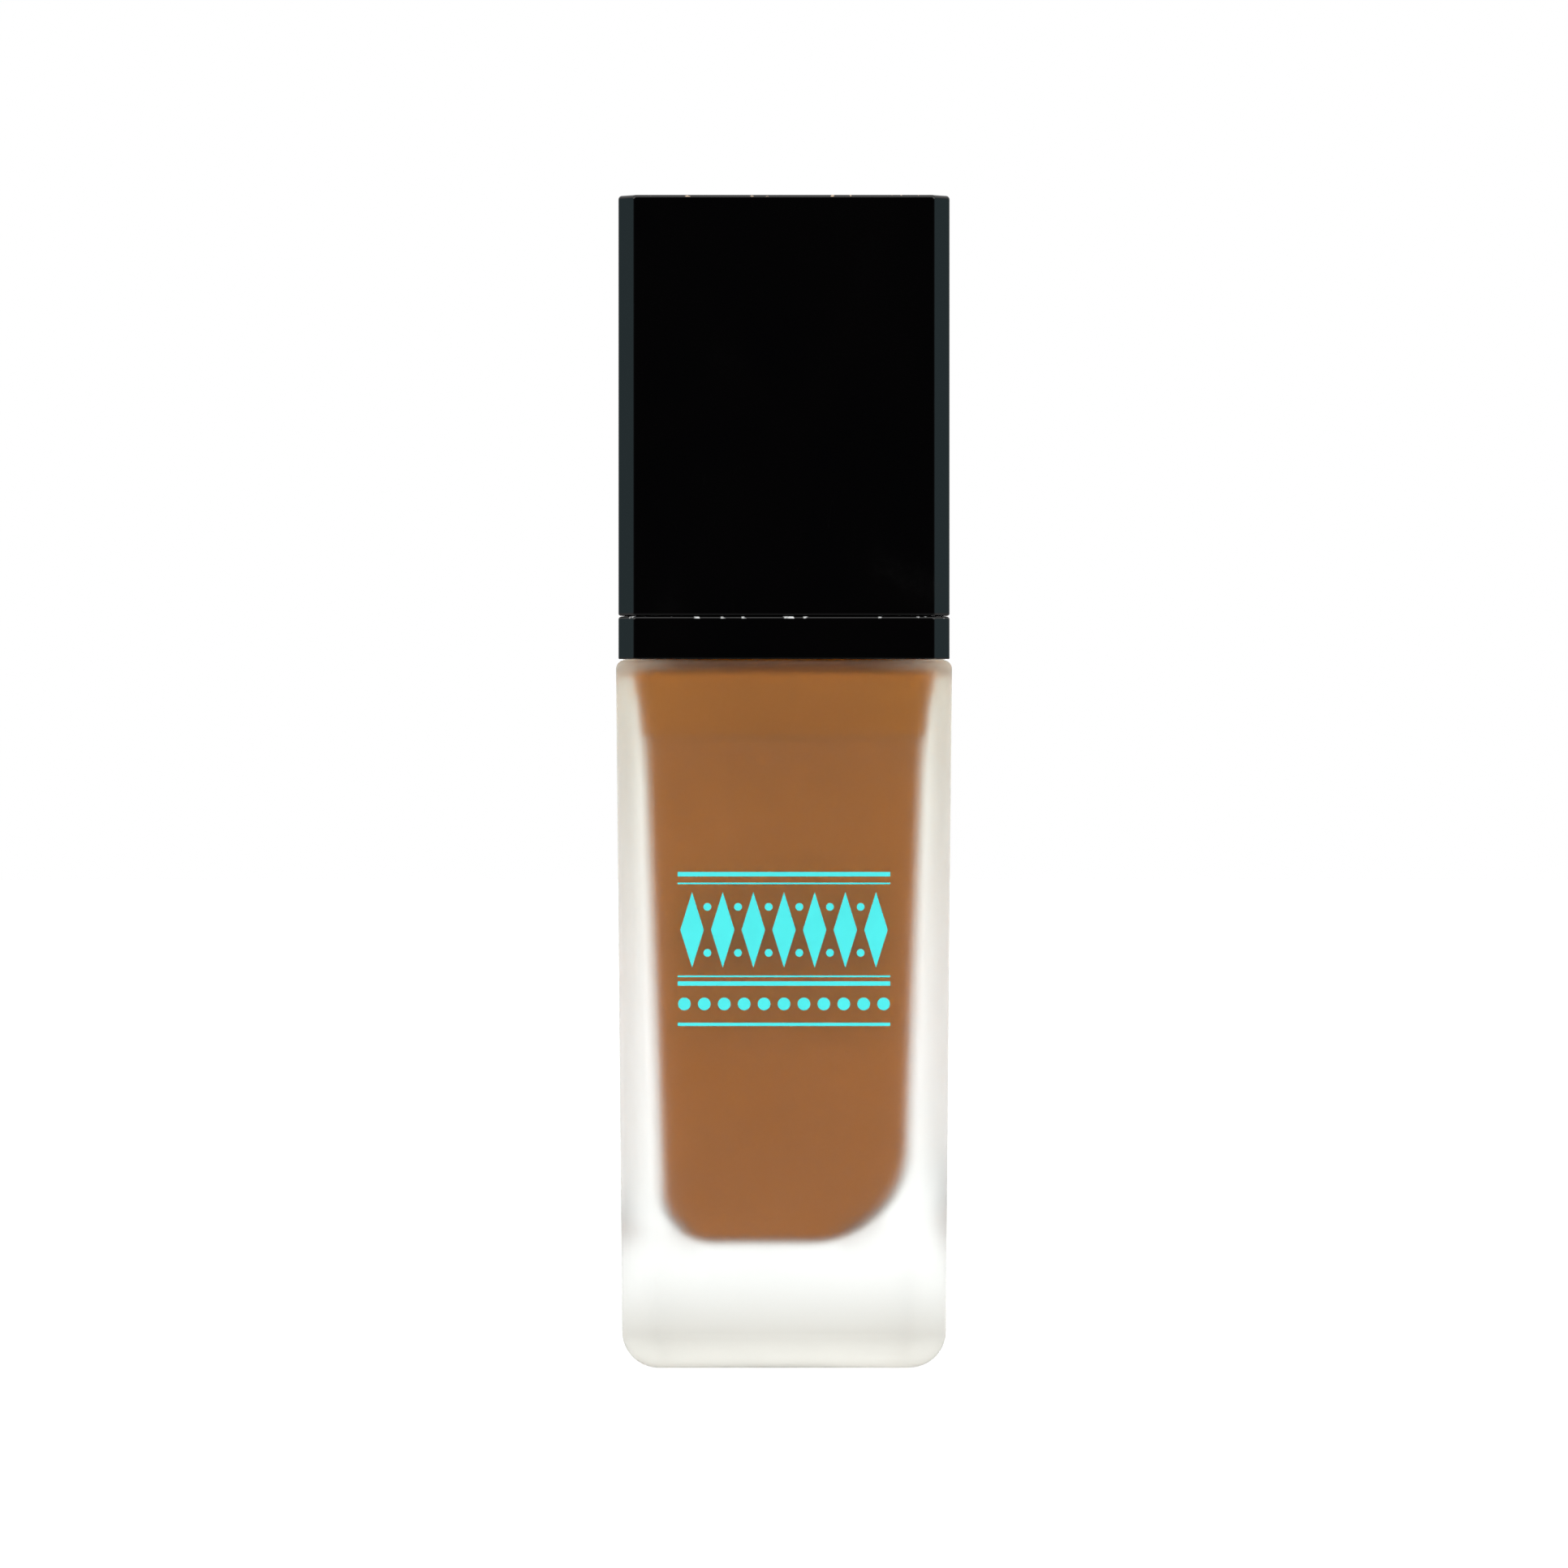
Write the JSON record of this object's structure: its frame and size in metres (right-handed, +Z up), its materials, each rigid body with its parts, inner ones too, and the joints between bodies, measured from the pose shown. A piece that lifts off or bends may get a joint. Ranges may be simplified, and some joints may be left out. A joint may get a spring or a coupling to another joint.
{
  "type": "foundation bottle",
  "caption": "Square frosted-glass foundation bottle with a thick base, a lotion pump on a screw neck, a square collar and a tall square press-on cap.",
  "frame": {"origin": "centre of the bottle's foot, on the surface it stands on", "axes": "+Z up along the bottle, the axis of every round piece; -Y is the front, where the nozzle points; X and Y across the flats"},
  "size_m": [0.033, 0.033, 0.1151],
  "materials": {
    "frosted_glass": "acid-frosted outside, clear inside",
    "foundation": "opaque warm brown emulsion, satin",
    "black_gloss": "polished black",
    "black_moulding": "fine matt black",
    "natural_moulding": "uncoloured polypropylene, satin",
    "clear_tube": "translucent polyethylene",
    "spring_steel": "drawn wire",
    "washer_foam": "closed-cell foam, white",
    "print_ink": "screen-printed cyan ink, satin"
  },
  "bodies": {
    "bottle": {"glass_bottle": "frosted_glass", "foundation_liquid": "foundation"},
    "pump": {"pump_housing": "natural_moulding", "ball_retainer": "natural_moulding", "lock_ring": "natural_moulding", "neck_gasket": "washer_foam", "dip_tube": "clear_tube", "return_spring": "spring_steel"},
    "closure": {"screw_closure": "black_moulding", "shoulder_collar": "black_gloss"},
    "overcap": {"overcap_shell": "black_gloss", "overcap_liner": "black_moulding"},
    "inlet_ball": {"check_ball": "spring_steel"},
    "stem_group": {"stem": "natural_moulding", "piston_rod": "natural_moulding"},
    "piston": {"piston": "natural_moulding"},
    "head": {"actuator_core": "black_moulding", "actuator_shell": "black_gloss", "nozzle_spout": "black_gloss"}
  },
  "joints": [
    {"name": "pump_lift", "type": "slide", "parent": "bottle", "child": "pump", "axis": [0, 0, 1], "range_m": [0, 0.00557]},
    {"name": "closure_turn", "type": "hinge", "parent": "pump", "child": "closure", "pos_m": [0, 0, 0.08], "axis": [0, 0, 1], "range_deg": [0, 630]},
    {"name": "overcap_pull", "type": "slide", "parent": "closure", "child": "overcap", "axis": [0, 0, 1], "range_m": [0, 0.045]},
    {"name": "ball_lift", "type": "slide", "parent": "pump", "child": "inlet_ball", "axis": [0, 0, 1], "range_m": [0, 0.0012]},
    {"name": "pump_stroke", "type": "slide", "parent": "pump", "child": "stem_group", "axis": [0, 0, 1], "range_m": [-0.005, 0], "stiffness_N_per_m": 850, "springref_m": 0.005, "deforming": ["return_spring"]},
    {"name": "piston_float", "type": "slide", "parent": "stem_group", "child": "piston", "axis": [0, 0, 1], "range_m": [0, 0.0006]},
    {"name": "head_swivel", "type": "hinge", "parent": "stem_group", "child": "head", "pos_m": [0, 0, 0.1], "axis": [0, 0, 1], "continuous": true}
  ],
  "couplings": [
    {"joint": "pump_lift", "follows": "closure_turn", "m_per_rad": 0.00050532}
  ]
}
